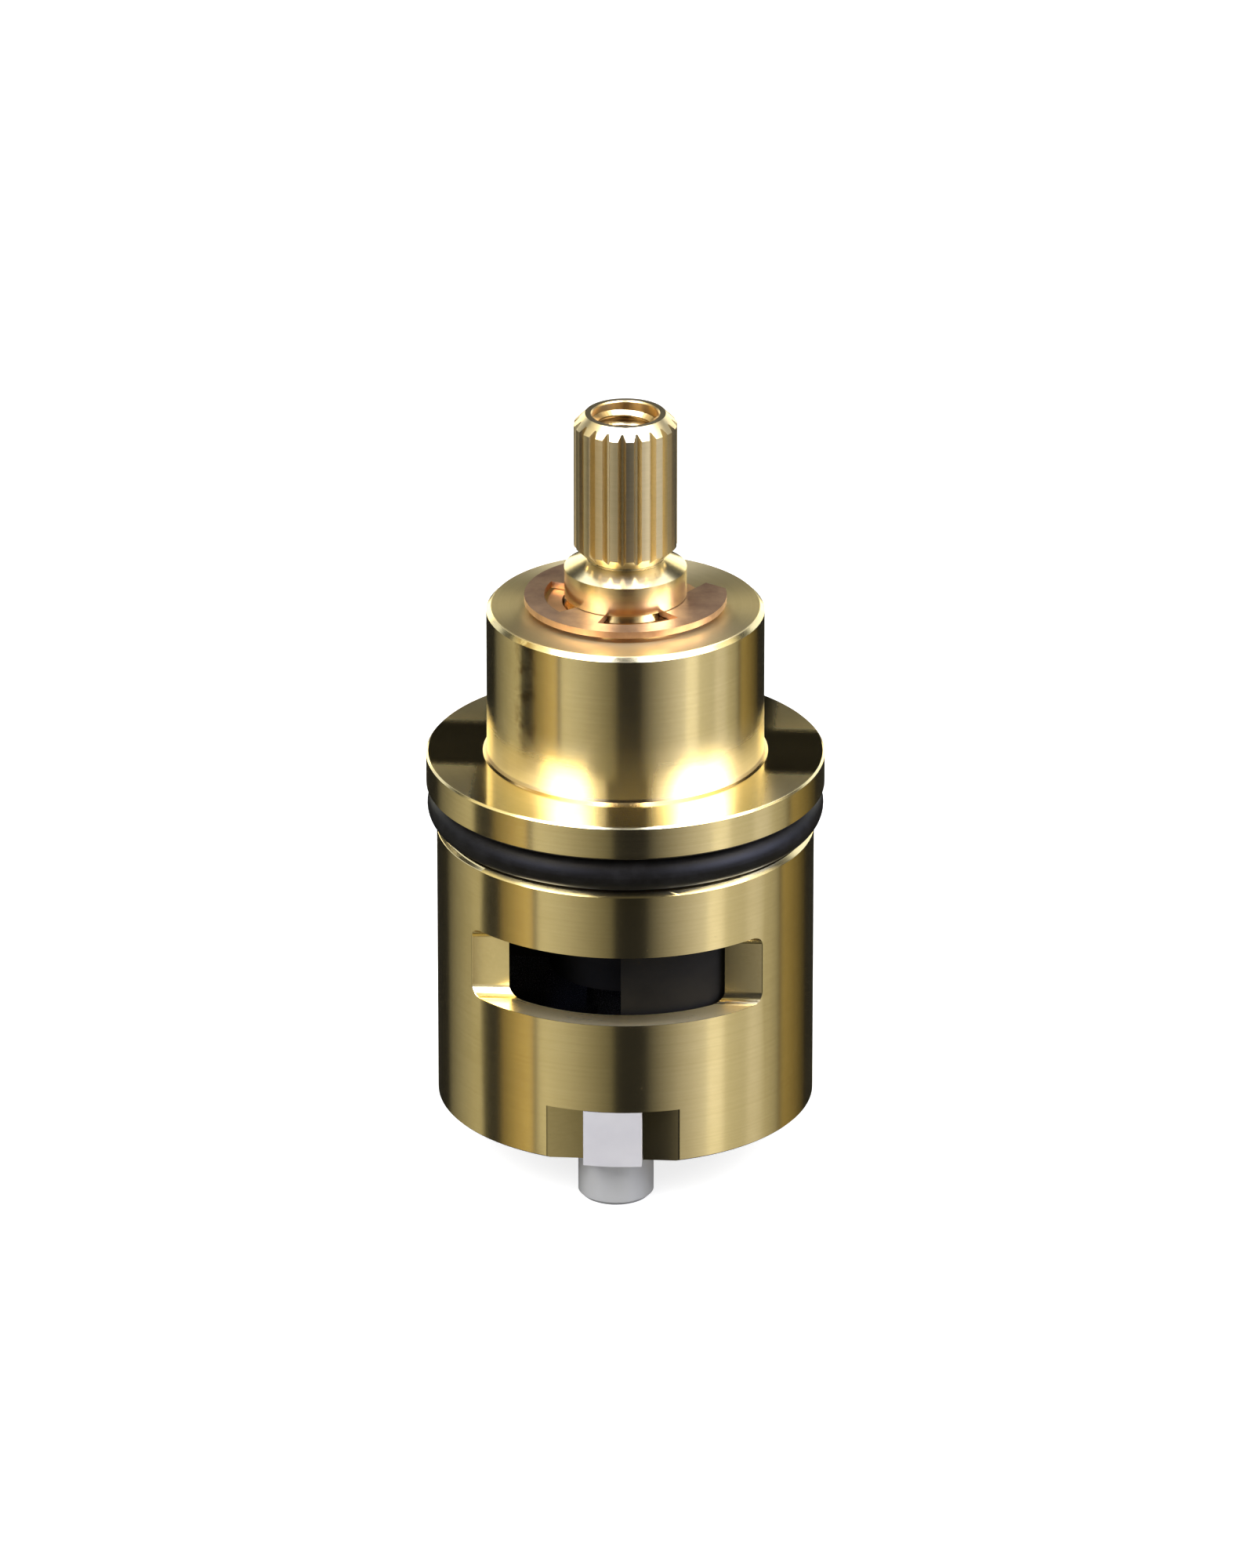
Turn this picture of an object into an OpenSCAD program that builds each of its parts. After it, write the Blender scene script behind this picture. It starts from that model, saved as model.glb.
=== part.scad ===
// Quarter-turn ceramic-disc faucet cartridge, photographed half open.
// Origin: axis of the cartridge at the brass bottom rim. +Z runs up the stem, -Y is the tab side.

/* [Lower barrel] */
// Outer diameter of the lower barrel
barrel_d = 28.5; // [28:0.1:29]
// Height of the lower barrel, from the rim to the ring groove
barrel_h = 22.1; // [21.6:0.1:24]
// Bore that holds the discs
bore_d = 24.4; // [24:0.1:24.8]
// Depth of that bore, measured from the rim
bore_depth = 17.9; // [17.6:0.1:18.6]
// Chamfer of the bottom rim
rim_chamfer = 0.1; // [0.05:0.05:0.4]
// Chamfer of the barrel's top edge, under the body ring
seat_chamfer = 0.3; // [0.1:0.05:0.5]

/* [Windows] */
// Height of the window sill above the rim
window_z = 11.35; // [10.9:0.05:11.6]
// Height of each window
window_h = 5.55; // [4.8:0.05:5.8]
// Depth of the milled flat below the barrel's surface
window_depth = 5.15; // [4.6:0.05:5.4]
// Radius that the cutter leaves along the flat
window_corner_r = 0.85; // [0.4:0.05:1.2]

/* [Body ring] */
// Height of the ring groove
groove_h = 3.1; // [2.9:0.05:3.5]
// Height by which the rubber ring stands out of the barrel
ring_stand = 0.7; // [0.6:0.01:0.75]
// Cord thickness of that ring
body_ring_cord = 2.65; // [2.4:0.05:2.8]

/* [Flange and neck] */
// Overhang of the flange past the barrel
flange_reach = 0.78; // [0.75:0.01:1.4]
// Thickness of the flange
flange_h = 2.65; // [2:0.05:3]
// Edge chamfer of the flange
flange_chamfer = 0.15; // [0.1:0.05:0.4]
// Diameter of the neck above the flange
neck_d = 20.9; // [19.5:0.1:22]
// Height of the neck above the flange
neck_h = 11.75; // [11:0.05:13]
// Edge chamfer of the neck
neck_chamfer = 0.35; // [0.2:0.05:0.5]
// Fillet between the neck and the flange
neck_foot = 0.3; // [0.1:0.05:0.5]

/* [Stem] */
// Diameter of the stem shaft
shaft_d = 9.2; // [8.8:0.1:9.6]
// Radial clearance of the shaft in the neck bore
shaft_clearance = 0.05; // [0.02:0.01:0.08]
// Height of the shaft above the neck, up to its bevel
shaft_rise = 3.15; // [2.6:0.05:4.5]
// Height of the bevel on top of the shaft
bevel_h = 0.8; // [0.6:0.1:1.6]
// Diameter at the bottom of the groove between the bevel and the splines
relief_d = 5.9; // [5.6:0.1:6.6]
// Height of the groove's bottom
relief_h = 0.1; // [0.1:0.1:0.6]

/* [Splines] */
// Number of flutes
spline_count = 20; // [16:1:24]
// Diameter over the teeth
spline_d = 7.75; // [7.6:0.05:8.4]
// Depth of a flute
flute_depth = 0.45; // [0.3:0.05:0.55]
// Width of a flute at the tooth tips
flute_w = 0.62; // [0.5:0.02:0.7]
// Length of the splined end
spline_l = 11.4; // [9:0.1:12]
// Chamfer at the top of the splines
spline_chamfer = 0.85; // [0.3:0.05:0.9]
// Outer diameter of the thread for the handle screw
screw_d = 5; // [4:0.1:5]
// Depth of the threaded hole, without its drill point
screw_depth = 10; // [8:0.5:11]
// Diameter of its countersink
countersink_d = 5.2; // [5.2:0.1:5.8]

/* [Stem retainer] */
// Diameter of the washer on the neck
washer_d = 11.6; // [11:0.1:13]
// Thickness of that washer
washer_h = 0.35; // [0.25:0.05:0.6]
// Overhang of the retaining ring past the washer
clip_reach = 1.8; // [1:0.05:2]
// Thickness of that ring
clip_h = 0.5; // [0.4:0.05:0.8]
// Diameter of the ring groove in the stem
clip_groove_d = 7.8; // [7.4:0.1:8.2]
// Width of the ring's arms
clip_arm = 1.5; // [1.3:0.05:1.8]
// Distance of the ring's cut edge from the axis
clip_edge = 5.4; // [5:0.1:6]
// Direction in which the ring opens
clip_angle = 57; // [-180:1:180]

/* [Stem seals and head] */
// Cord thickness of the two stem rings as squeezed in the bore
stem_ring_cord = 1.4; // [1.2:0.05:1.5]
// Distance between the two stem rings
stem_ring_pitch = 4.5; // [3.5:0.1:5.5]
// Distance of the upper stem ring below the top of the neck
stem_ring_drop = 3.4; // [2.5:0.1:4.5]
// Diameter of the stem head
head_d = 13; // [12.4:0.1:13.4]
// Height of the stem head
head_h = 4; // [3.5:0.1:4.4]
// Thickness of the thrust washer above the head
thrust_h = 0.8; // [0.6:0.05:1.2]
// Height of the pocket in which the head turns
head_pocket_h = 6.6; // [6.4:0.1:7]

/* [Travel] */
// Full turn from shut to open, set by the stop lug
travel = 90; // [80:1:95]
// Width of the stop lug, in degrees
lug_angle = 44; // [36:1:50]
// Reach of the stop lug from the axis
lug_r = 8.4; // [7.8:0.1:8.8]
// Height of the stop lug
lug_h = 2.2; // [1.8:0.1:2.6]

/* [Driver] */
// Width of each vane of the driver, in degrees
vane_angle = 85.4; // [80:0.2:88]
// Radial clearance of the vanes in the bore
vane_clearance = 0.4; // [0.3:0.05:0.6]
// Diameter of the driver hub
driver_hub_d = 11.6; // [11:0.1:12]
// Diameter of the tang on the stem
tang_d = 8.6; // [8:0.1:9]
// Thickness of the tang over its flats
tang_w = 4.8; // [4:0.1:5.4]
// Reach of the tang into the driver
tang_l = 3.6; // [3:0.1:4.2]

/* [Discs] */
// Thickness of the turning disc
turning_disc_h = 2.8; // [2.4:0.1:3]
// Thickness of the fixed disc
fixed_disc_h = 3.1; // [2.8:0.1:3.3]
// Radial clearance of the discs in the bore
disc_clearance = 0.2; // [0.15:0.05:0.35]
// Inner radius of the disc ports
port_r_in = 3; // [2.6:0.1:3.6]
// Width of the sealing land round the ports
port_rim = 3; // [2.9:0.1:3.4]
// Width of the ports in the fixed disc, in degrees
port_angle = 82; // [70:1:84]
// Depth of the drive sockets in the turning disc
socket_depth = 1.3; // [1:0.1:1.6]

/* [Base] */
// Distance that the base stands proud of the rim
base_proud = 0.25; // [0.2:0.05:0.8]
// Height of the notch for the base tab
notch_h = 4.25; // [4:0.05:4.4]
// Width of the wide, shallow part of the notch
notch_w = 10.1; // [8:0.1:12]
// Depth of that part
notch_depth = 0.92; // [0.6:0.02:1.2]
// Width of the base tab
tab_w = 4.4; // [4:0.1:5.2]
// Diameter of the water inlet in the base
inlet_d = 9; // [8.4:0.1:9.2]
// Diameter of the locating peg
peg_d = 5.7; // [5:0.1:6]
// Distance of the peg's centre inside the barrel's surface
peg_inset = 4; // [3.6:0.05:4]
// Reach of the peg below the rim
peg_drop = 4.05; // [3:0.05:6]
// Cord thickness of the seal under the base
base_seal_cord = 1.5; // [1.3:0.05:1.5]
// Height of the rubber gasket under the fixed disc
gasket_h = 1.3; // [1.2:0.05:1.6]

/* [Hidden] */
$fn = 96;
fit = 0.05;           // gap between pieces that touch in the real thing
rest_play = 0.1;      // gap between loose pieces of one stack
through = 1;          // overrun of a cut past the face that it opens
far_x = 40;           // length of a bar that cuts right across

barrel_r = barrel_d / 2;
window_flat = barrel_r - window_depth;
notch_flat = barrel_r - notch_depth;
peg_offset = barrel_r - peg_inset;
bore_r = bore_d / 2;
flange_z = barrel_h + groove_h;
flange_top = flange_z + flange_h;
neck_top = flange_top + neck_h;
neck_r = neck_d / 2;
flange_r = barrel_r + flange_reach;
body_ring_r = barrel_r + ring_stand - body_ring_cord / 2;
groove_r = body_ring_r - body_ring_cord / 2 - fit;
bore_edge = 0.4;

shaft_r = shaft_d / 2;
shaft_bore_r = shaft_r + shaft_clearance;
shaft_top = neck_top + shaft_rise;
relief_z = shaft_top + bevel_h;
spline_z = relief_z + relief_h;
spline_r = spline_d / 2;
stem_top = spline_z + spline_l;
flute_root_w = 0.16;
relief_r = relief_d / 2;
spline_lead_h = spline_r - relief_r;
drill_tip = 0.6;      // height of a 118 degree drill point over its radius

washer_z = neck_top;
clip_z = washer_z + washer_h + fit;
clip_r = washer_d / 2 + clip_reach;
clip_groove_r = clip_groove_d / 2;
clip_cut_r = clip_r - clip_arm;
clip_mouth = 0.9 * clip_groove_d;
clip_prong = 34;      // width of the ring's middle prong, in degrees
clip_cut = 60;        // width of the cut on each side of that prong, in degrees

stem_ring_r = shaft_r - stem_ring_cord / 2;
stem_gland_h = stem_ring_cord * 1.35;
stem_ring_upper_z = neck_top - stem_ring_drop;
stem_ring_lower_z = stem_ring_upper_z - stem_ring_pitch;

head_r = head_d / 2;
head_pocket_r = head_r + 0.5;
head_pocket_top = bore_depth + head_pocket_h;
head_top = head_pocket_top - thrust_h - 2 * fit;
head_z = head_top - head_h;
stop_play = 0.6;      // degrees left before the lug meets the end of its pocket
lug_pocket_r = lug_r + 0.4;
lug_z = head_z;
lug_pocket_top = lug_z + lug_h + 0.4;
stop_angle = lug_angle + travel + 2 * stop_play;

base_z = -base_proud;
base_top = notch_h - fit;
gasket_stand = 0.3;   // height of the gasket above the top of the base
fixed_disc_z = base_top + gasket_stand;
turning_disc_z = fixed_disc_z + fixed_disc_h;
driver_z = turning_disc_z + turning_disc_h + fit;
vane_top = bore_depth - 0.3;
hub_top = head_z - rest_play;
tang_z = head_z - tang_l;
tang_fit = 0.1;

disc_r = bore_r - disc_clearance;
port_r_out = disc_r - port_rim;
vane_r = bore_r - vane_clearance;
hub_r = driver_hub_d / 2;
vane_mid = -45;       // direction of the first vane at mid travel
drive_r = 8;          // distance of the drive sockets from the axis
socket_r = 1.5;
key_w = 3;            // keys of the base that hold the fixed disc
key_h = 2.4;

base_r = bore_r - 0.15;
inlet_r = inlet_d / 2;
plenum_r = port_r_out + 0.2;
plenum_h = 2.2;
gasket_r_in = plenum_r + 0.3;
gasket_r_out = gasket_r_in + 1.2;
key_r = gasket_r_out + 0.2;
seal_groove_r_in = inlet_r + 0.45;
seal_groove_r_out = seal_groove_r_in + base_seal_cord + 2 * fit;
seal_groove_h = base_seal_cord * 0.73;
base_seal_z = base_z + seal_groove_h - base_seal_cord / 2;
peg_r = peg_d / 2;
peg_chamfer = 0.3;
peg_root_r = base_r - peg_offset;
peg_root_h = 0.5;     // height of the peg's root inside the base

function polar(r, a) = [r * cos(a), r * sin(a)];

// Wedge of the plane between two directions, less than a full turn apart
module wedge(from, to, reach) {
    step = (to - from) / 4;
    polygon(concat([[0, 0]], [for (i = [0 : 4]) polar(reach, from + i * step)]));
}

// Piece of a flat ring between two directions
module ring_sector(r_in, r_out, from, to) {
    intersection() {
        difference() {
            circle(r = r_out);
            circle(r = r_in);
        }
        wedge(from, to, 1.6 * r_out);
    }
}

module tube(r_in, r_out, h) {
    difference() {
        cylinder(r = r_out, h = h);
        translate([0, 0, -through]) cylinder(r = r_in, h = h + 2 * through);
    }
}

module ring(r, cord) {
    rotate_extrude() translate([r, 0]) circle(d = cord, $fn = 48);
}

// Turned outline of the housing, from the rim up
module housing_outline() {
    polygon([
        [bore_r + bore_edge, 0], [barrel_r - rim_chamfer, 0], [barrel_r, rim_chamfer],
        [barrel_r, barrel_h - seat_chamfer], [barrel_r - seat_chamfer, barrel_h],
        [groove_r, barrel_h],
        [groove_r, flange_z], [flange_r - flange_chamfer, flange_z],
        [flange_r, flange_z + flange_chamfer], [flange_r, flange_top - flange_chamfer],
        [flange_r - flange_chamfer, flange_top], [neck_r + neck_foot, flange_top],
        [neck_r + neck_foot * 0.3, flange_top + neck_foot * 0.3], [neck_r, flange_top + neck_foot],
        [neck_r, neck_top - neck_chamfer], [neck_r - neck_chamfer, neck_top],
        [shaft_bore_r + bore_edge, neck_top], [shaft_bore_r, neck_top - bore_edge],
        [shaft_bore_r, head_pocket_top], [head_pocket_r, head_pocket_top],
        [head_pocket_r, bore_depth], [bore_r, bore_depth], [bore_r, bore_edge]
    ]);
}

// Bar that mills one window, with round edges along its inner side
module window_bar() {
    r = window_corner_r;
    rotate([90, 0, 90]) linear_extrude(height = far_x, center = true) {
        translate([window_flat, r]) square([barrel_r, window_h - 2 * r]);
        translate([window_flat + r, 0]) square([barrel_r, window_h]);
        translate([window_flat + r, r]) circle(r = r);
        translate([window_flat + r, window_h - r]) circle(r = r);
    }
}

module housing() {
    color("darkgoldenrod") difference() {
        rotate_extrude() housing_outline();
        for (side = [0, 180]) rotate([0, 0, side]) translate([0, 0, window_z]) window_bar();
        translate([-notch_w / 2, -notch_flat - barrel_r, -through])
            cube([notch_w, barrel_r, notch_h + through]);
        translate([-tab_w / 2 - fit, -2 * barrel_r, -through])
            cube([tab_w + 2 * fit, 2 * barrel_r, notch_h + through]);
        translate([0, 0, bore_depth - through])
            linear_extrude(height = lug_pocket_top - bore_depth + through)
                ring_sector(head_r, lug_pocket_r, 90 - stop_angle / 2, 90 + stop_angle / 2);
    }
}

module body_o_ring() {
    color("black") translate([0, 0, flange_z - groove_h / 2]) ring(body_ring_r, body_ring_cord);
}

// Flutes cut along the splined end
module spline_section() {
    root_r = spline_r - flute_depth;
    difference() {
        circle(r = spline_r);
        for (i = [0 : spline_count - 1]) rotate(i * 360 / spline_count) polygon([
            [root_r, -flute_root_w / 2], [spline_r + flute_depth, -flute_w + flute_root_w / 2],
            [spline_r + flute_depth, flute_w - flute_root_w / 2], [root_r, flute_root_w / 2]
        ]);
    }
}

module spline_end() {
    intersection() {
        translate([0, 0, spline_z - fit]) linear_extrude(height = spline_l + fit) spline_section();
        rotate_extrude() polygon([
            [0, spline_z - fit], [relief_r, spline_z - fit], [relief_r, spline_z],
            [spline_r, spline_z + spline_lead_h], [spline_r, stem_top - spline_chamfer],
            [spline_r - spline_chamfer, stem_top], [0, stem_top]
        ]);
    }
}

// Turned outline of the stem below its splines
module stem_outline() {
    gland_r = shaft_r - stem_ring_cord - fit;
    clip_top = clip_z + clip_h + fit;
    polygon(concat(
        [[0, head_z], [head_r, head_z], [head_r, head_top], [shaft_r, head_top]],
        [for (z = [stem_ring_lower_z, stem_ring_upper_z], p = [
            [shaft_r, z - stem_gland_h / 2], [gland_r, z - stem_gland_h / 2],
            [gland_r, z + stem_gland_h / 2], [shaft_r, z + stem_gland_h / 2]
        ]) p],
        [[shaft_r, clip_z - fit], [clip_groove_r, clip_z - fit], [clip_groove_r, clip_top],
         [shaft_r, clip_top], [shaft_r, shaft_top], [relief_r, relief_z], [relief_r, spline_z],
         [0, spline_z]]
    ));
}

// Double-D outline of the tang and, with a clearance, of its slot
module tang_section(clearance) {
    intersection() {
        circle(r = tang_d / 2 + clearance);
        square([tang_d * 2, tang_w + 2 * clearance], center = true);
    }
}

module stem() {
    color("goldenrod") difference() {
        union() {
            rotate_extrude() stem_outline();
            spline_end();
            translate([0, 0, lug_z]) linear_extrude(height = lug_h)
                ring_sector(head_r - through, lug_r, 90 - lug_angle / 2, 90 + lug_angle / 2);
            translate([0, 0, tang_z]) rotate([0, 0, vane_mid]) linear_extrude(height = tang_l + fit)
                tang_section(0);
        }
        translate([0, 0, stem_top - screw_depth]) cylinder(d = screw_d, h = screw_depth + through);
        translate([0, 0, stem_top - screw_depth - drill_tip * screw_d / 2])
            cylinder(r1 = 0, r2 = screw_d / 2, h = drill_tip * screw_d / 2);
        translate([0, 0, stem_top - (countersink_d - screw_d) / 2])
            cylinder(d1 = screw_d, d2 = countersink_d, h = (countersink_d - screw_d) / 2);
    }
}

// Open ring with three prongs, cut straight across its mouth, which is on the +X side
module clip_section() {
    difference() {
        circle(r = clip_r);
        circle(r = clip_groove_r + fit);
        translate([clip_edge, -clip_r]) square([clip_r, 2 * clip_r]);
        translate([0, -clip_mouth / 2]) square([clip_r + through, clip_mouth]);
        for (side = [-1, 1]) rotate(180 + side * (clip_prong + clip_cut) / 2)
            ring_sector(clip_groove_r, clip_cut_r, -clip_cut / 2, clip_cut / 2);
    }
}

module stem_clip() {
    color("peru") translate([0, 0, clip_z]) rotate([0, 0, clip_angle])
        linear_extrude(height = clip_h) clip_section();
}

module stem_washer() {
    color("sienna") translate([0, 0, washer_z]) tube(shaft_bore_r + rest_play, washer_d / 2, washer_h);
}

module stem_o_ring_upper() {
    color("dimgray") translate([0, 0, stem_ring_upper_z]) ring(stem_ring_r, stem_ring_cord);
}

module stem_o_ring_lower() {
    color("dimgray") translate([0, 0, stem_ring_lower_z]) ring(stem_ring_r, stem_ring_cord);
}

module thrust_washer() {
    color("ivory") translate([0, 0, head_top + fit])
        tube(shaft_r + 2 * rest_play, head_r + rest_play, thrust_h);
}

// Butterfly outline that the driver and the turning disc share
module butterfly(core_r, vane_reach) {
    circle(r = core_r);
    for (side = [0, 180])
        ring_sector(core_r - through, vane_reach, vane_mid + side - vane_angle / 2,
                    vane_mid + side + vane_angle / 2);
}

// Places children over the middle of each vane
module at_vanes(r) {
    for (side = [0, 180]) rotate([0, 0, vane_mid + side]) translate([r, 0, 0]) children();
}

module driver() {
    color("saddlebrown") difference() {
        union() {
            translate([0, 0, driver_z]) linear_extrude(height = vane_top - driver_z)
                butterfly(hub_r, vane_r);
            translate([0, 0, driver_z]) cylinder(r = hub_r, h = hub_top - driver_z);
            at_vanes(drive_r) translate([0, 0, driver_z - socket_depth + rest_play])
                cylinder(r = socket_r, h = socket_depth);
        }
        translate([0, 0, tang_z - rest_play]) rotate([0, 0, vane_mid])
            linear_extrude(height = tang_l + through) tang_section(tang_fit);
    }
}

module turning_disc() {
    color("white") translate([0, 0, turning_disc_z]) difference() {
        linear_extrude(height = turning_disc_h) butterfly(port_r_in, disc_r);
        at_vanes(drive_r) translate([0, 0, turning_disc_h - socket_depth])
            cylinder(r = socket_r + rest_play, h = socket_depth + through);
    }
}

module fixed_disc() {
    color("whitesmoke") translate([0, 0, fixed_disc_z]) difference() {
        cylinder(r = disc_r, h = fixed_disc_h);
        for (side = [-90, 90]) translate([0, 0, -through])
            linear_extrude(height = fixed_disc_h + 2 * through)
                ring_sector(port_r_in, port_r_out, side - port_angle / 2, side + port_angle / 2);
        for (side = [0, 180]) rotate([0, 0, side])
            translate([key_r - rest_play, -key_w / 2 - rest_play, -through])
                cube([bore_r, key_w + 2 * rest_play, fixed_disc_h + 2 * through]);
    }
}

module disc_gasket() {
    color("black") translate([0, 0, fixed_disc_z - gasket_h])
        tube(gasket_r_in, gasket_r_out, gasket_h);
}

// Keys that rise into the notches of the fixed disc
module disc_keys() {
    intersection() {
        translate([0, 0, base_z]) cylinder(r = base_r, h = base_top - base_z + key_h);
        for (side = [0, 180]) rotate([0, 0, side]) translate([key_r, -key_w / 2, base_top - through])
            cube([bore_r, key_w, key_h + through]);
    }
}

module base_tab() {
    intersection() {
        translate([0, 0, base_z]) cylinder(r = barrel_r, h = base_top - base_z);
        translate([-tab_w / 2, -barrel_d, base_z])
            cube([tab_w, barrel_d - base_r + through, base_top - base_z]);
    }
}

module locating_peg() {
    translate([0, -peg_offset, 0]) rotate_extrude() polygon([
        [0, -peg_drop], [peg_r - peg_chamfer, -peg_drop], [peg_r, -peg_drop + peg_chamfer],
        [peg_r, base_z], [peg_root_r, base_z], [peg_root_r, base_z + peg_root_h],
        [0, base_z + peg_root_h]
    ]);
}

module base() {
    groove_r_in = gasket_r_in - fit;
    color("gainsboro") difference() {
        union() {
            translate([0, 0, base_z]) cylinder(r = base_r, h = base_top - base_z);
            disc_keys();
            base_tab();
            locating_peg();
        }
        translate([0, 0, base_z - through]) cylinder(r = inlet_r, h = base_top - base_z + through);
        translate([0, 0, base_top - plenum_h]) cylinder(r = plenum_r, h = plenum_h + through);
        translate([0, 0, fixed_disc_z - gasket_h - fit])
            tube(groove_r_in, gasket_r_out + fit, gasket_h);
        translate([0, 0, base_z - through])
            tube(seal_groove_r_in, seal_groove_r_out, seal_groove_h + through);
    }
}

module base_seal() {
    color("black") translate([0, 0, base_seal_z])
        ring((seal_groove_r_in + seal_groove_r_out) / 2, base_seal_cord);
}

housing();
body_o_ring();
stem();
stem_clip();
stem_washer();
stem_o_ring_upper();
stem_o_ring_lower();
thrust_washer();
driver();
turning_disc();
fixed_disc();
disc_gasket();
base();
base_seal();
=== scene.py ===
import math

import bmesh
import bpy
from mathutils import Matrix, Vector


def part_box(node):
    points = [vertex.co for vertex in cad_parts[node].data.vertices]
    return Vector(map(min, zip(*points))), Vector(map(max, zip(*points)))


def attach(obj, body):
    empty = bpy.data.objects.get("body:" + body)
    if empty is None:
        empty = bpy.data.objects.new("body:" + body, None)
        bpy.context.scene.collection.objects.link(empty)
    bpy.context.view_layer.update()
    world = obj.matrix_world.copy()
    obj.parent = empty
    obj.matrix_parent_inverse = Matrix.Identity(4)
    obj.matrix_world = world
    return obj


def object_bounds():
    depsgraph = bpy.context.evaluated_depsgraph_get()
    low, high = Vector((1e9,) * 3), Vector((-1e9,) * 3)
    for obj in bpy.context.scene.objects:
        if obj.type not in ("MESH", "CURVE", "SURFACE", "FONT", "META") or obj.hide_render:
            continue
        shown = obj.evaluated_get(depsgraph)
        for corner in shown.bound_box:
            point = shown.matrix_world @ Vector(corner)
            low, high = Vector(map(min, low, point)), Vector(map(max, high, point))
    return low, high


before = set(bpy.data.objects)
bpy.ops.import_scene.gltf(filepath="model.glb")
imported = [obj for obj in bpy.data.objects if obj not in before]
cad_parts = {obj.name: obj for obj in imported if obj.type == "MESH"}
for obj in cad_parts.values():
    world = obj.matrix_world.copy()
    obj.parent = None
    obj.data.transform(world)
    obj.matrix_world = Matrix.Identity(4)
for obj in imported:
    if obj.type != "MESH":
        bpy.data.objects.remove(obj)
cad_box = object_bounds()


# Housing.
# One piece turned from brass bar, with the windows and the tab notch milled afterwards. The lathe
# leaves fine rings round every wall and face, and handling leaves faint blotches and small marks.
class Value:
    """A number or colour that varies over a surface. An expression on it adds its Math nodes."""

    def __init__(self, nodes, socket):
        self.nodes = nodes
        self.socket = socket

    def math(self, operation, *others):
        return self.nodes.node("Math", {"operation": operation}, dict(enumerate((self, *others))))

    def __add__(self, other):
        return self.math("ADD", other)

    __radd__ = __add__

    def __sub__(self, other):
        return self.math("SUBTRACT", other)

    def __rsub__(self, other):
        return self.nodes.node("Math", {"operation": "SUBTRACT"}, {0: other, 1: self})

    def __mul__(self, other):
        return self.math("MULTIPLY", other)

    __rmul__ = __mul__

    def __or__(self, other):
        return self.math("MAXIMUM", other)

    def fade(self, zero, one):
        """0 where the value is zero, 1 where it is one, in proportion between them and held outside."""
        return self.nodes.node("MapRange", {"clamp": True}, {"Value": self, "From Min": zero,
                                                             "From Max": one})


class Nodes:
    """The nodes of a material or of the world."""

    def __init__(self, tree):
        self.tree = tree

    def node(self, kind, settings=(), inputs=(), output=0):
        """Adds a node, sets it and its sockets, and gives the value of one output."""
        made = self.tree.nodes.new("ShaderNode" + kind)
        for name, value in dict(settings).items():
            setattr(made, name, value)
        for name, value in dict(inputs).items():
            self.link(value, made.inputs[name])
        return Value(self, made.outputs[output])

    def link(self, value, socket):
        if isinstance(value, Value):
            self.tree.links.new(value.socket, socket)
        else:
            socket.default_value = value


class Finish(Nodes):
    """A material on the Principled shader, whose fixed values are set on the shader's own sockets."""

    def __init__(self, name, **fixed):
        self.material = bpy.data.materials.new(name)
        self.material.use_nodes = True
        super().__init__(self.material.node_tree)
        self.shader = self.tree.nodes["Principled BSDF"]
        for socket, value in fixed.items():
            self.shader.inputs[socket.replace("_", " ")].default_value = value

    def feed(self, **sockets):
        """Feeds the shader's sockets with values that vary over the surface."""
        for name, value in sockets.items():
            self.link(value, self.shader.inputs[name.replace("_", " ")])
        return self.material

    def place(self, scale=(1, 1, 1)):
        """The point on the surface in millimetres, from the object's own coordinates."""
        spot = self.node("TexCoord", output="Object")
        return self.node("Mapping", {}, {"Vector": spot, "Scale": [1000 * s for s in scale]})

    def split(self, point):
        """A point's x, y and z."""
        first = self.node("SeparateXYZ", {}, {0: point})
        return [Value(self, output) for output in first.socket.node.outputs]

    def noise(self, point, scale, detail=3.0, roughness=0.5):
        """Soft noise from 0 to 1, with about scale features to the millimetre."""
        return self.node("TexNoise", {}, {"Vector": point, "Scale": scale, "Detail": detail,
                                          "Roughness": roughness})

    def mix(self, factor, first, second):
        """A colour between two colours, which are sockets 6 and 7 of a Mix node and its output 2."""
        return self.node("Mix", {"data_type": "RGBA"}, {0: factor, 6: first, 7: second}, output=2)

    def bump(self, height, distance, strength=1.0, below=None):
        """A normal from a height, where a height of 1 is worth a distance in metres."""
        sockets = {"Height": height, "Distance": distance, "Strength": strength}
        if below is not None:
            sockets["Normal"] = below
        return self.node("Bump", {}, sockets)


def turned_place(finish):
    """The point on the surface, its x, y and z, and its distance from the axis, in millimetres."""
    point = finish.place()
    x, y, z = finish.split(point)
    return point, x, y, z, (x * x + y * y).math("SQRT")


# The tarnish colour also paints shade in the crease round the neck's foot, on the front of the neck's top
# and inside the stem's tapped hole
tarnish_and_shade = [0.40, 0.24, 0.06, 1]
pit_tone = 0.45  # of the dull metal's
pit_depth = 3  # of the grooves'


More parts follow.
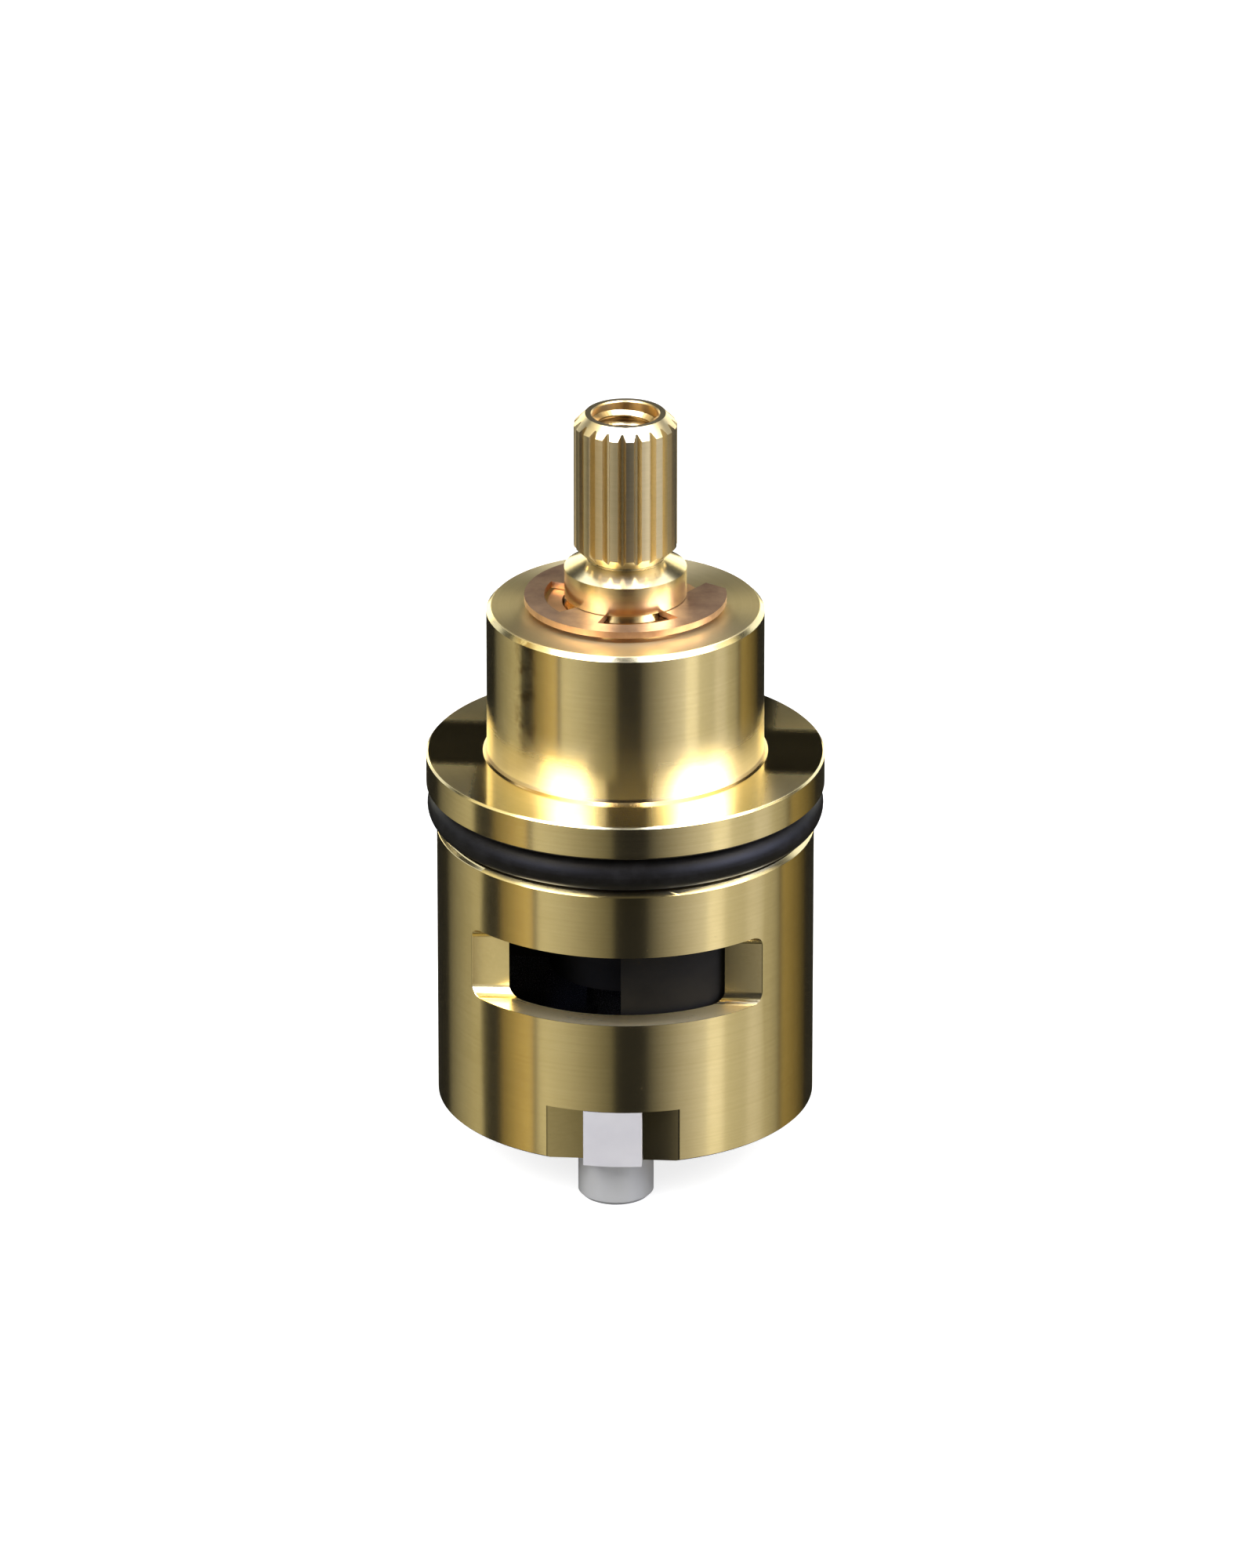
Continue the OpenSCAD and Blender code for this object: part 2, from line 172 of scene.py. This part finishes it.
def turned_metal(finish, bright, dull, roughness, groove_depth, stain_and_shade, turned=1.0, form=None):
    """Bright metal off the lathe: rings, drifting tone, blotches, tarnish, painted shade in the tarnish
    colour, and a few pin marks.
    """
    point, *_, height, radius = turned_place(finish)
    ring_point = finish.node("CombineXYZ", {}, {0: radius, 1: 0.0, 2: height})
    rings = finish.noise(ring_point, scale=4.5, detail=4.0, roughness=0.7)
    fine_rings = finish.noise(ring_point, scale=16.0, detail=2.0, roughness=0.5)
    blotches = finish.noise(point, scale=0.22, detail=4.0, roughness=0.6)
    pits = finish.noise(point, scale=2.6, detail=5.0, roughness=0.7).fade(0.70, 0.80)
    tone = (blotches * 0.6 + rings * 0.4).fade(0.35, 0.68)
    stained_and_shaded = finish.mix(stain_and_shade, finish.mix(tone, bright, dull), tarnish_and_shade)
    in_pits = [c * pit_tone for c in dull[:3]] + [1]
    grooves = finish.bump((rings * 0.5 + fine_rings * 0.5) * turned, groove_depth, below=form)
    return finish.feed(Base_Color=finish.mix(pits * 0.5, stained_and_shaded, in_pits),
                       Normal=finish.bump(pits, -groove_depth * pit_depth, below=grooves),
                       Roughness=fine_rings * 0.08 + blotches * 0.06 + roughness)


def dress(node, material):
    """Gives a CAD node its finish."""
    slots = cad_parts[node].data.materials
    slots.clear()
    slots.append(material)


# Where the housing's surfaces lie, in millimetres from its axis and from its lower rim, and the
# radius of the windows' corners
barrel_wall = 14.24
barrel_top = 22.0
window_wall = 9.1
window_corner = 0.85
window_sill = 11.35
notch_wall = 13.33
flange_face = 27.8
neck_wall = 10.6
neck_top = 39.5

brass = Finish("turned_brass", Metallic=1.0, Anisotropic=0.7, Anisotropic_Rotation=0.25)
spot, across, along, height, radius = turned_place(brass)
depth = along.math("ABSOLUTE")
outside = radius.fade(barrel_wall - 0.04, barrel_wall) | height.fade(barrel_top, barrel_top + 0.1)
milled = 1.0 - outside
on_sill = height.math("COMPARE", window_sill, 0.03) * milled
on_notch = depth.math("COMPARE", notch_wall, 0.03) * milled
left_corner = depth.fade(window_wall + window_corner, window_wall + window_corner - 0.02) * height.fade(
    window_sill + 0.01, window_sill + 0.02) * across.fade(-6.0, -6.5)
on_window = (depth.math("COMPARE", window_wall, 0.004) | left_corner) * milled

# The milled walls mirror the studio as if they were crowned, by this drop in metres at one
# millimetre from their highest line. The windows' rounded corners on the camera's left go with them
wall_crown = 0.0000165
window_crest = 2.4
notch_crest = -1.1
off_window = across - window_crest
off_notch = across - notch_crest
crowned_window = brass.bump(off_window * off_window, -wall_crown, on_window)
crowned_walls = brass.bump(off_notch * off_notch, -wall_crown, on_notch, below=crowned_window)

# The flange's face is polished, with haze at its sides before and behind the middle. The neck's top
# is duller, and so is its foot on both sides
flange_polish = height.fade(flange_face, flange_face + 0.04) * radius.fade(neck_wall, neck_wall + 0.3)
off_middle = along.fade(3.8, 5.0) + along.fade(-3.0, -4.2)
flange_haze = off_middle * flange_polish * across.math("ABSOLUTE").fade(9.8, 11.2)
on_top = height.fade(neck_top, neck_top + 0.08)
beside = across.fade(-1.2, -2.2) + across.fade(2.2, 3.2)
foot = height.fade(flange_face + 5.0, flange_face + 0.5) * radius.fade(neck_wall, neck_wall - 0.1) * beside

# Tarnish lies in spots down a streak on the neck's left. The front of the neck's top and the crease
# round its foot are darkened with the tarnish colour, as painted shade
front_top_shade = on_top * along.fade(-3.0, -9.0) * 0.75
crease_shade = radius.fade(neck_wall + 0.22, neck_wall + 0.12) * height.fade(
    flange_face + 0.4, flange_face + 0.3) * height.fade(flange_face, flange_face + 0.02)
streak = across.fade(-7.9, -7.3) * across.fade(-6.0, -6.6) * height.fade(30.0, 33.0) * (1.0 - on_top)
spots = brass.noise(spot, scale=0.75, detail=3.0, roughness=0.6).fade(0.45, 0.62) * streak

haze = on_top * 0.18 + foot * 0.18 + on_sill * 0.1 + flange_haze * 0.20 - flange_polish * 0.08
turned_metal(brass, bright=[0.88, 0.70, 0.32, 1], dull=[0.76, 0.59, 0.24, 1], roughness=haze + 0.12,
             groove_depth=0.0000016, stain_and_shade=front_top_shade | spots * 0.8 | crease_shade * 0.75, turned=outside,
             form=crowned_walls)
dress("housing", brass.material)


# Body ring.
# A moulded nitrile ring, stretched into the groove under the flange. It has a matt skin with a
# faint bloom of talc. The rings on the stem, the gasket and the base's seal are the same rubber.
def moulded_rubber(name):
    """Black rubber with a matt skin, fine grain and a trace of bloom."""
    finish = Finish(name, Metallic=0.0, Specular_IOR_Level=0.1, Specular_Tint=(1.0, 0.9, 0.7, 1))
    point = finish.place()
    grain = finish.noise(point, scale=9.0, detail=3.0, roughness=0.6)
    bloom = finish.noise(point, scale=0.5, detail=4.0, roughness=0.65).fade(0.45, 0.75)
    colour = finish.mix(bloom, [0.006, 0.0055, 0.005, 1], [0.011, 0.0105, 0.010, 1])
    return finish.feed(Base_Color=colour, Roughness=0.42 + bloom * 0.18, Normal=finish.bump(grain, 0.00001))


rubber = moulded_rubber("nitrile_rubber")
for ring in ("body_o_ring", "stem_o_ring_upper", "stem_o_ring_lower", "disc_gasket", "base_seal"):
    dress(ring, rubber)


# Stem.
# Turned from brass bar too, with its flutes cut along the axis, a bevel on its shoulder under them
# and a tapped hole in its end. Its grooves are finer than the housing's.
shoulder_foot = 41.6
flutes_foot = 43.6
hole_reach = 2.6  # just past the hole's wall

stem_brass = Finish("stem_brass", Metallic=1.0, Anisotropic=0.3, Anisotropic_Rotation=0.25)
*_, height, radius = turned_place(stem_brass)
# Inside the tapped hole the metal is darkened and browned with the tarnish colour, as painted shade
shaded_hole = radius.fade(hole_reach + 0.04, hole_reach - 0.04)
fluted = height.fade(flutes_foot, flutes_foot + 0.2)
shoulder = height.fade(shoulder_foot, shoulder_foot + 0.4) * height.fade(flutes_foot + 0.2, flutes_foot)
turned_metal(stem_brass, bright=[0.72, 0.57, 0.28, 1], dull=[0.57, 0.45, 0.21, 1], groove_depth=0.0000003,
             roughness=shoulder * 0.02 + fluted * 0.10 + 0.13, stain_and_shade=shaded_hole * 0.75 | fluted * 0.1)
dress("stem", stem_brass.material)


# Screw thread.
# The ridges that the tap left in the stem's hole, one turn for each pitch, below the countersink.
# They are cut in the stem's own brass.
thread_pitch = 0.0008
thread_turns = 9
thread_root = 0.00248
thread_crest = 0.00212
root_half_width = 0.42 * thread_pitch
crest_half_width = 0.07 * thread_pitch
countersink = 0.00045
steps_per_turn = 48
thread_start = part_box("stem")[1].z - countersink - thread_turns * thread_pitch

ridge = bmesh.new()
profile = ridge.faces.new([ridge.verts.new((distance, 0, thread_start + rise)) for distance, rise in (
    (thread_root, -root_half_width), (thread_crest, -crest_half_width),
    (thread_crest, crest_half_width), (thread_root, root_half_width))])
bmesh.ops.spin(ridge, geom=[profile], axis=(0, 0, 1), dvec=(0, 0, thread_pitch / steps_per_turn),
               angle=math.tau * thread_turns, steps=steps_per_turn * thread_turns)
bmesh.ops.recalc_face_normals(ridge, faces=ridge.faces)
thread_mesh = bpy.data.meshes.new("screw_thread")
ridge.to_mesh(thread_mesh)
ridge.free()
screw_thread = bpy.data.objects.new("screw_thread", thread_mesh)
bpy.context.scene.collection.objects.link(screw_thread)
thread_mesh.materials.append(stem_brass.material)
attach(screw_thread, "spindle")


# Retaining ring and washer.
# Both are stamped from phosphor bronze strip, so their faces have the strip's grain along one way
# and a warm, slightly tarnished tone. The ring snaps into the stem's groove, over the washer.
def bronze_strip(name, bright, dull):
    """Rolled bronze strip with straight grain and patches of tarnish."""
    finish = Finish(name, Metallic=1.0)
    grain = finish.noise(finish.place(scale=(0.15, 2.4, 1)), scale=4.0, detail=3.0, roughness=0.6)
    patches = finish.noise(finish.place(), scale=0.45, detail=4.0, roughness=0.6).fade(0.35, 0.7)
    return finish.feed(Base_Color=finish.mix(patches, bright, dull), Roughness=0.33 + grain * 0.14,
                       Normal=finish.bump(grain, 0.000004))


dress("stem_clip", bronze_strip("bronze_ring", bright=[0.57, 0.345, 0.16, 1], dull=[0.34, 0.19, 0.09, 1]))
dress("stem_washer", bronze_strip("bronze_washer", bright=[0.88, 0.50, 0.18, 1], dull=[0.72, 0.38, 0.13, 1]))


# Thrust washer, driver and base.
# Moulded acetal: natural for the washer, dark brown for the driver and white for the base. The
# mould leaves a fine, even grain. The base's peg, below the housing's rim, is a little greyer, and darker as
# painted shade under the housing.
rim_reach = (-0.2, -0.3)  # heights over which the plastic changes to its tone below the rim


def moulded_plastic(name, light, dark, roughness, shade_below_rim=1.0, **fixed):
    """Moulded plastic with fine grain and a slow drift of tone. Below the rim it is grey, at a share of
    its tone that darkens it as painted shade."""
    finish = Finish(name, Metallic=0.0, **fixed)
    point = finish.place()
    grain = finish.noise(point, scale=14.0, detail=2.0, roughness=0.6)
    drift = finish.noise(point, scale=0.35, detail=3.0, roughness=0.5).fade(0.3, 0.7)
    grey_and_shade = [(light[1] + dark[1]) / 2 * shade_below_rim] * 3 + [1]
    below = finish.split(point)[2].fade(*rim_reach)
    return finish.feed(Base_Color=finish.mix(below, finish.mix(drift, light, dark), grey_and_shade),
                       Roughness=roughness + grain * 0.12, Normal=finish.bump(grain, 0.000006))


dress("thrust_washer", moulded_plastic("natural_acetal", roughness=0.4, light=[0.80, 0.78, 0.70, 1],
                                       dark=[0.74, 0.71, 0.62, 1]))
# The driver's near-black colour also stands in for the shade inside the windows
dress("driver", moulded_plastic("brown_acetal_and_shade", roughness=0.6, light=[0.010, 0.009, 0.0065, 1],
                                dark=[0.006, 0.0055, 0.004, 1], Specular_IOR_Level=0.09,
                                Specular_Tint=(1.0, 0.9, 0.7, 1)))
dress("base", moulded_plastic("white_acetal", roughness=0.38, light=[0.54, 0.53, 0.555, 1],
                              dark=[0.49, 0.48, 0.51, 1], shade_below_rim=0.8))


# Discs.
# Ceramic, pressed, fired and lapped to a mirror on the faces that seal, and coloured near black,
# which also stands in for the shade inside the windows. The fixed disc sits in the base, and the
# driver's pegs turn the other one on it.
def lapped_ceramic(name):
    """Near-black ceramic with a lapped face and the faint speckle of its grains; its colour also stands in
    for shade.
    """
    finish = Finish(name, Metallic=0.0, Specular_IOR_Level=0.6)
    speckle = finish.noise(finish.place(), scale=20.0, detail=2.0, roughness=0.6).fade(0.4, 0.7)
    colour = finish.mix(speckle, [0.010, 0.010, 0.011, 1], [0.020, 0.020, 0.022, 1])
    return finish.feed(Base_Color=colour, Roughness=0.2 + speckle * 0.1)


ceramic = lapped_ceramic("black_ceramic_and_shade")
dress("turning_disc", ceramic)
dress("fixed_disc", ceramic)


# Floor.
# A plain pale table top. The camera sees it white with a soft shadow, and reflections look through
# it at the cards below, as through a sheet of glass.
floor_reach = 4.0
floor_glow = 0.77  # lifts the lit floor to white for the camera

sheet = bmesh.new()
bmesh.ops.create_circle(sheet, cap_ends=True, segments=64, radius=floor_reach,
                        matrix=Matrix.Translation((0, 0, cad_box[0].z)))
floor_mesh = bpy.data.meshes.new("floor")
sheet.to_mesh(floor_mesh)
sheet.free()
floor = bpy.data.objects.new("floor", floor_mesh)
bpy.context.scene.collection.objects.link(floor)

table_top = Finish("table_top", Base_Color=(0.5, 0.5, 0.5, 1), Roughness=0.9, Specular_IOR_Level=0.0,
                   Emission_Strength=1.0)
seen = table_top.node("LightPath", output="Is Camera Ray")
table_top.feed(Emission_Color=table_top.mix(seen, [0, 0, 0, 1], [floor_glow] * 3 + [1]))
table_top.material.cycles.emission_sampling = "NONE"
opaque = Value(table_top, table_top.shader.outputs[0])
clear = table_top.node("BsdfTransparent")
mirrored = table_top.node("LightPath", output="Is Glossy Ray")
table_top.link(table_top.node("MixShader", {}, {0: mirrored, 1: opaque, 2: clear}),
               table_top.tree.nodes["Material Output"].inputs["Surface"])
floor_mesh.materials.append(table_top.material)


# Studio cards.
# Strips of pale and gold card stand round the object, below the table top and above it, and many
# are brighter at one side. They show only in reflections, and give the metal its stripes.
camera_turn = math.radians(4)
card_distance = 0.7
card_steps = 12
lamp_like = 2.0  # a card that glows more than this is sampled as a lamp is


def direction(turn, rise):
    """Unit vector to a place that is turned from the camera's side, in degrees, and raised."""
    a = camera_turn + math.radians(turn)
    e = math.radians(rise)
    return Vector((math.sin(a) * math.cos(e), -math.cos(a) * math.cos(e), math.sin(e)))


def card(name, turns, rises, colour, glow, bend=1.0):
    """A card over a range of turns and rises, in degrees, whose glow changes from its first turn to its
    last. A bend over 1 keeps the glow to the bright end."""
    mesh = bmesh.new()
    edge = mesh.edges.new([mesh.verts.new(direction(turns[0], rise) * card_distance) for rise in rises])
    bmesh.ops.spin(mesh, geom=[*edge.verts, edge], axis=(0, 0, 1), steps=card_steps,
                   angle=math.radians(turns[1] - turns[0]))
    data = bpy.data.meshes.new(name)
    mesh.to_mesh(data)
    mesh.free()
    paper = Finish(name, Base_Color=(0, 0, 0, 1), Specular_IOR_Level=0.0, Emission_Strength=max(glow))
    x, y, _ = paper.split(paper.place())
    turned = x.math("ARCTAN2", y * -1.0) - camera_turn
    (dim, dim_turn), (full, full_turn) = sorted(zip(glow, turns))
    shade = turned.fade(math.radians(dim_turn), math.radians(full_turn)).math("POWER", bend)
    data.materials.append(paper.feed(Emission_Color=paper.mix(
        shade, [c * dim / full for c in colour] + [1], [*colour, 1])))
    paper.material.cycles.emission_sampling = "FRONT_BACK" if full > lamp_like else "NONE"
    made = bpy.data.objects.new(name, data)
    bpy.context.scene.collection.objects.link(made)
    made.visible_camera = False
    made.visible_diffuse = False
    made.visible_shadow = False
    made.visible_transmission = False


cool = (1.0, 1.0, 1.03)
pale = (1.0, 0.98, 0.82)
gold = (1.0, 0.80, 0.32)
hazed = (0.9, 1.0, 1.25)
daylight = (0.85, 1.0, 1.8)

# Seen in upright walls, through the table top
under = (-75, -2)
card("card_left_far", (-137, -97), under, pale, (0.10, 0.54))
card("card_left_gold", (-82, -58), under, gold, (0.16, 0.60))
card("card_left_near", (-55, -7), under, pale, (0.62, 0.12))
card("card_right_near", (13, 51), under, cool, (0.05, 0.66))
card("card_right_bright", (51, 62), under, cool, (0.95, 0.90))
card("card_right_low", (62, 79), under, pale, (0.54, 0.44))
card("card_right_far", (79, 92), under, cool, (0.64, 0.58))
card("card_right_end", (92, 107), under, pale, (0.46, 0.30))
card("card_right_gold", (110, 142), under, gold, (0.34, 0.03))

# Seen by way of a second wall: in the neck's foot by way of the flange, in the flange's face by way
# of the neck, and in the windows' sills. The middle ones are bright enough to glare
aside = (8, 26)
level = (6, 34)
left_glare = 8.0
right_glare = 13.0
card("card_left_side", (-143, -80), aside, hazed, (0.95, 1.9))
card("card_left_glare", (-80, -58), level, daylight, (1.9, left_glare), 3.5)
card("card_left_blaze", (-58, -36), level, daylight, (left_glare, left_glare))
card("card_left_flare", (-36, -16), level, daylight, (left_glare, 1.0), 2.5)
card("card_right_flare", (20, 46), level, daylight, (0.6, right_glare), 3.0)
card("card_right_blaze", (46, 86), level, daylight, (right_glare, right_glare))
card("card_right_glare", (86, 103), level, daylight, (right_glare, 1.8), 2.0)
card("card_right_side", (103, 145), aside, hazed, (1.6, 1.4))

# Behind the object: the rear cards are seen in the ends of the stem's bevel, and the back cards in
# the flange's face and the neck's top. The gap between the back cards is the flange's dark bands
rear = (46, 70)
back = (-3, 26)
card("card_left_rear", (-156, -128), rear, hazed, (2.6, 2.6))
card("card_right_rear", (128, 156), rear, hazed, (2.6, 2.6))
card("card_left_back", (-170, -143), back, pale, (2.7, 2.7))
card("card_right_back", (145, 170), back, pale, (2.7, 2.7))

# Overhead: seen in chamfers and round edges, and the two crown cards in the stem's bevel by way of
# its shaft
over = (36, 64)
high = (64, 86)
card("card_left_over", (-125, -58), over, pale, (1.2, 1.2))
card("card_left_crown", (-105, -28), high, daylight, (22.0, 22.0))
card("card_over", (-58, 58), (50, 64), pale, (0.3, 0.3))
card("card_right_over", (58, 125), over, pale, (1.2, 1.2))
card("card_right_crown", (28, 105), high, daylight, (22.0, 22.0))


# Lamps.
# Two large soft boxes, high on the left and the right of the camera, and pale air all round that
# the metal hardly mirrors.
rim_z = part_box("housing")[0].z
middle = Vector((0, 0, (rim_z + cad_box[1].z) / 2))


def soft_box(name, turn, rise=44, distance=0.6, width=0.34, power=3.6):
    """A lamp that faces the middle of the object, a little taller than wide."""
    lamp = bpy.data.lights.new(name, "AREA")
    lamp.shape = "RECTANGLE"
    lamp.size = width
    lamp.size_y = width * 1.2
    lamp.energy = power
    made = bpy.data.objects.new(name, lamp)
    made.location = middle + direction(turn, rise) * distance
    made.rotation_euler = (made.location - middle).to_track_quat("Z", "Y").to_euler()
    bpy.context.scene.collection.objects.link(made)


soft_box("lamp_left", turn=-56)
soft_box("lamp_right", turn=70)

air_light = 0.45
air_mirrored = 0.012

world = bpy.data.worlds.new("studio")
bpy.context.scene.world = world
world.use_nodes = True
world.cycles.sampling_method = "NONE"
air = Nodes(world.node_tree)
seen = air.node("LightPath", output="Is Camera Ray")
mirrored = air.node("LightPath", output="Is Glossy Ray")
strength = (air_light - mirrored * (air_light - air_mirrored)) | seen
background = world.node_tree.nodes["Background"]
background.inputs["Color"].default_value = (1, 1, 1, 1)
air.link(strength, background.inputs["Strength"])


# Camera.
# A long lens from a little above, on the side of the tab and turned a few degrees to its right.
picture_height = 0.1183
camera_distance = 0.947
camera_rise = 23.15
aim = Vector((0, 0, rim_z + 0.02499))  # a point of the axis, a little above the body ring
lens = bpy.data.cameras.new("camera")
lens.sensor_width = 36.0  # along the picture's longer side, its height
lens.lens = lens.sensor_width * camera_distance / picture_height
lens.shift_x = 0.001
lens.clip_start = 0.01
lens.clip_end = 20.0
camera = bpy.data.objects.new("camera", lens)
camera.location = aim + direction(0, camera_rise) * camera_distance
camera.rotation_euler = direction(0, camera_rise).to_track_quat("Z", "Y").to_euler()
bpy.context.scene.collection.objects.link(camera)
bpy.context.scene.camera = camera
bpy.context.scene.view_settings.view_transform = "Standard"
